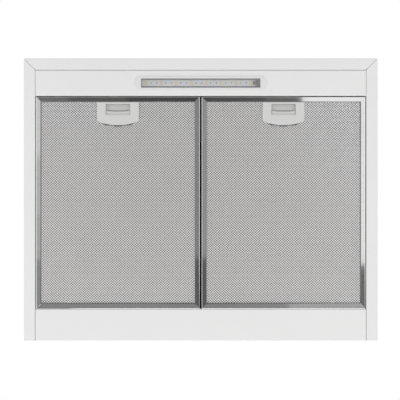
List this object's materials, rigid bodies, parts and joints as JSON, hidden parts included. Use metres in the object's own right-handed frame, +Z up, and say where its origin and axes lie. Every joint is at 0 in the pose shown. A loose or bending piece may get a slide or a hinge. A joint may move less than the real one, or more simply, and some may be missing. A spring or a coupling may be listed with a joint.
{
  "type": "under cabinet range hood",
  "caption": "Slanted canopy range hood for under a wall cabinet, with mesh filters, lamp, blower, duct collar and push buttons.",
  "frame": {"origin": "centre of the four cabinet screw holes, on the upper face of the flat top", "axes": "+Z up out of the top towards the cabinet, +Y towards the wall, +X to the right seen from the front"},
  "size_m": [0.598, 0.4797, 0.176],
  "materials": {
    "white_enamel": "smooth white powder coat",
    "galvanised": "galvanised sheet",
    "white_plastic": "satin white moulding",
    "lens": "clear moulded lens with a faint prism pattern",
    "grey_plastic": "grey moulding",
    "board_white": "white solder mask",
    "led_yellow": "phosphor behind clear resin",
    "chip_black": "small moulded chips",
    "filter_aluminium": "bright rolled aluminium",
    "mesh_aluminium": "expanded aluminium foil",
    "handle_plastic": "light grey moulding",
    "spring_steel": "drawn wire",
    "black_plastic": "black moulding",
    "dark_plastic": "dark grey moulding",
    "motor_steel": "zinc plated can",
    "rubber_black": "matt rubber",
    "shaft_steel": "ground steel",
    "button_grey": "satin grey keys",
    "lead_grey": "grey cable sheath",
    "screw_zinc": "zinc plated"
  },
  "bodies": {
    "hood": {"back_panel": "white_enamel", "blower_base": "black_plastic", "blower_cover": "black_plastic", "cable_gland": "rubber_black", "capacitor": "grey_plastic", "control_bezel": "white_plastic", "fixing_screws": "screw_zinc", "flap_pin": "shaft_steel", "front_inner_panel": "white_enamel", "inlet_guard": "black_plastic", "lamp_bezel": "white_plastic", "lamp_board": "board_white", "lamp_cable": "lead_grey", "lamp_housing": "grey_plastic", "lamp_leds": "led_yellow", "lamp_lens": "lens", "lamp_resistors": "chip_black", "led_driver": "white_plastic", "motor": "motor_steel", "motor_cable": "lead_grey", "motor_grommets": "rubber_black", "mounting_rail_left": "galvanised", "mounting_rail_right": "galvanised", "outlet_collar": "dark_plastic", "side_panel_left": "white_enamel", "side_panel_right": "white_enamel", "switch_block": "dark_plastic", "switch_cable": "lead_grey", "terminal_box": "grey_plastic", "terminal_cover": "grey_plastic", "top_front_panel": "white_enamel"},
    "filter_left": {"filter_frame_left": "filter_aluminium", "mesh_face_left": "mesh_aluminium", "mesh_core_left": "mesh_aluminium", "mesh_back_left": "mesh_aluminium", "latch_base_left": "handle_plastic", "latch_spring_left": "spring_steel", "rear_tabs_left": "filter_aluminium"},
    "latch_left": {"latch_slide_left": "handle_plastic"},
    "filter_right": {"filter_frame_right": "filter_aluminium", "mesh_face_right": "mesh_aluminium", "mesh_core_right": "mesh_aluminium", "mesh_back_right": "mesh_aluminium", "latch_base_right": "handle_plastic", "latch_spring_right": "spring_steel", "rear_tabs_right": "filter_aluminium"},
    "latch_right": {"latch_slide_right": "handle_plastic"},
    "impeller": {"impeller_hub": "dark_plastic", "impeller_blades": "dark_plastic", "impeller_ring": "dark_plastic", "motor_shaft": "shaft_steel"},
    "flap_front": {"flap_front": "dark_plastic"},
    "flap_rear": {"flap_rear": "dark_plastic"},
    "button_off": {"button_off": "button_grey"},
    "button_speed_1": {"button_speed_1": "button_grey"},
    "button_speed_2": {"button_speed_2": "button_grey"},
    "button_speed_3": {"button_speed_3": "button_grey"},
    "button_light": {"button_light": "button_grey"}
  },
  "joints": [
    {"name": "filter_left_tilt", "type": "hinge", "parent": "hood", "child": "filter_left", "pos_m": [-0.1398, 0.0961, -0.13], "axis": [1, 0, 0], "range_deg": [0, 60]},
    {"name": "latch_left_slide", "type": "slide", "parent": "filter_left", "child": "latch_left", "axis": [0, 1, 0], "range_m": [0, 0.005], "stiffness_N_per_m": 400, "springref_m": -0.005, "deforming": ["latch_spring_left"]},
    {"name": "filter_right_tilt", "type": "hinge", "parent": "hood", "child": "filter_right", "pos_m": [0.1398, 0.0961, -0.13], "axis": [1, 0, 0], "range_deg": [0, 60]},
    {"name": "latch_right_slide", "type": "slide", "parent": "filter_right", "child": "latch_right", "axis": [0, 1, 0], "range_m": [0, 0.005], "stiffness_N_per_m": 400, "springref_m": -0.005, "deforming": ["latch_spring_right"]},
    {"name": "impeller_spin", "type": "hinge", "parent": "hood", "child": "impeller", "pos_m": [-0.083, -0.075, -0.06], "axis": [0, 0, 1], "continuous": true},
    {"name": "flap_front_swing", "type": "hinge", "parent": "hood", "child": "flap_front", "pos_m": [0, 0.076, 0.003], "axis": [-1, 0, 0], "range_deg": [0, 75]},
    {"name": "flap_rear_swing", "type": "hinge", "parent": "hood", "child": "flap_rear", "pos_m": [0, 0.076, 0.003], "axis": [1, 0, 0], "range_deg": [0, 75]},
    {"name": "button_off_press", "type": "slide", "parent": "hood", "child": "button_off", "axis": [0, 1, 0], "range_m": [0, 0.0025], "stiffness_N_per_m": 800, "springref_m": -0.001},
    {"name": "button_speed_1_press", "type": "slide", "parent": "hood", "child": "button_speed_1", "axis": [0, 1, 0], "range_m": [0, 0.0025], "stiffness_N_per_m": 800, "springref_m": -0.001},
    {"name": "button_speed_2_press", "type": "slide", "parent": "hood", "child": "button_speed_2", "axis": [0, 1, 0], "range_m": [0, 0.0025], "stiffness_N_per_m": 800, "springref_m": -0.001},
    {"name": "button_speed_3_press", "type": "slide", "parent": "hood", "child": "button_speed_3", "axis": [0, 1, 0], "range_m": [0, 0.0025], "stiffness_N_per_m": 800, "springref_m": -0.001},
    {"name": "button_light_press", "type": "slide", "parent": "hood", "child": "button_light", "axis": [0, 1, 0], "range_m": [0, 0.0025], "stiffness_N_per_m": 800, "springref_m": -0.001}
  ]
}
